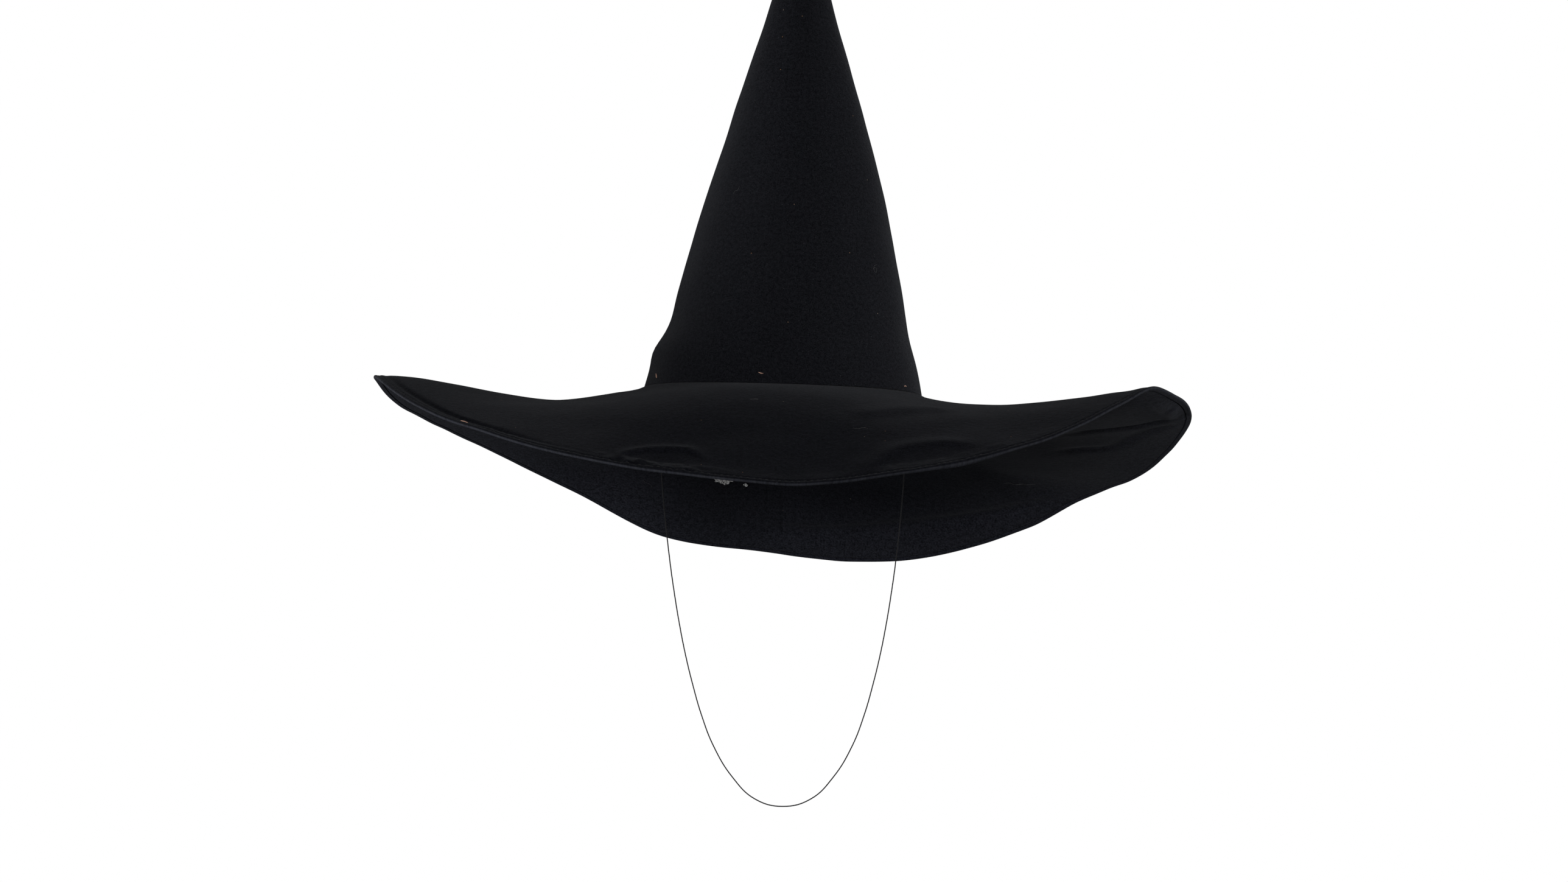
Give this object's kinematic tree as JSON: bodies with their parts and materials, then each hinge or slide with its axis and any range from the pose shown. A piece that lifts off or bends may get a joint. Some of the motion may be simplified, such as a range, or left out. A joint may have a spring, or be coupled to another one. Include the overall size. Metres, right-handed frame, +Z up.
{
  "type": "witch hat",
  "caption": "Tall pointed cloth-covered hat with a wide wired brim bent into a saddle, a sweatband inside the opening and a thin elastic chin cord that swings below.",
  "frame": {"origin": "middle of the head opening, level with the foot of the crown", "axes": "+Z up towards the point of the crown, -Y towards the front of the brim, +X to the right in the view from the front"},
  "size_m": [0.5587, 0.5178, 0.6265],
  "materials": {
    "crown_cloth": "matt black wool cloth with a short nap",
    "brim_cloth": "matt black wool cloth with a short nap",
    "under_cloth": "matt black plain cloth",
    "buckram": "stiffened open-weave hat buckram",
    "lining": "thin black satin lining",
    "sweatband": "ribbed black grosgrain ribbon",
    "wire": "drawn spring steel",
    "elastic": "thin round elastic with a braided black cover",
    "thread": "black cotton thread"
  },
  "bodies": {
    "hat": {"crown_cloth": "crown_cloth", "crown_foundation": "buckram", "crown_lining": "lining", "sweatband": "sweatband", "headline_wire": "wire", "brim_top_cloth": "brim_cloth", "brim_stiffener": "buckram", "brim_under_cloth": "under_cloth", "brim_edge_wire": "wire", "edge_wire_joiner": "wire", "cord_knot_left": "elastic", "cord_knot_right": "elastic", "knot_tack_left": "thread", "knot_tack_right": "thread"},
    "chin_cord": {"chin_cord": "elastic"}
  },
  "joints": [
    {"name": "chin_cord_swing", "type": "hinge", "parent": "hat", "child": "chin_cord", "pos_m": [0, 0, 0.008], "axis": [1, 0, 0], "range_deg": [-60, 55]}
  ]
}
